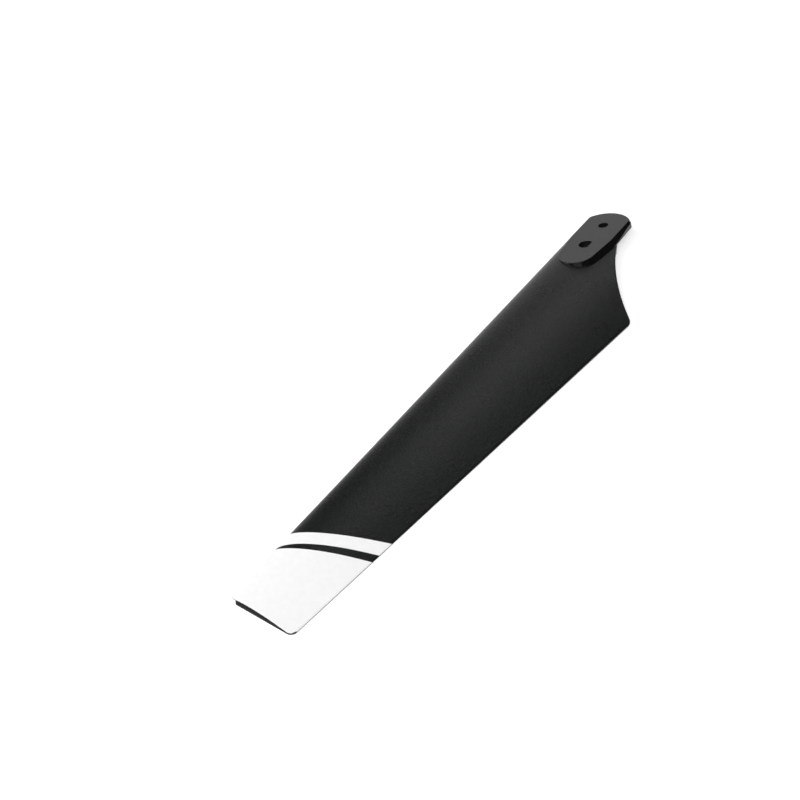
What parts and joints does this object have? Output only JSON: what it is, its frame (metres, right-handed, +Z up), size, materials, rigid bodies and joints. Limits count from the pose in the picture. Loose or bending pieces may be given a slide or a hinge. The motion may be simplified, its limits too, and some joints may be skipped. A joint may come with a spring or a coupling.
{
  "type": "helicopter rotor blade",
  "caption": "Tapered flat-bottomed moulded rotor blade with a straight leading edge and a pitched root pad with a bolt hole and a D-shaped key hole.",
  "frame": {"origin": "middle of the bolt hole, on its axis, halfway through the pad's tongue", "axes": "+X from the bolt hole towards the tip, parallel to the leading edge; +Y towards the trailing edge; +Z up as the blade lies on its flat underside"},
  "size_m": [0.1405, 0.0245, 0.0045],
  "materials": {
    "blade_plastic": "black moulded plastic with a fine grain, smooth on the root pad",
    "white_print": "white pad print on the tip and in one stripe"
  },
  "bodies": {
    "root": {"rotor_blade": "blade_plastic"}
  },
  "joints": []
}
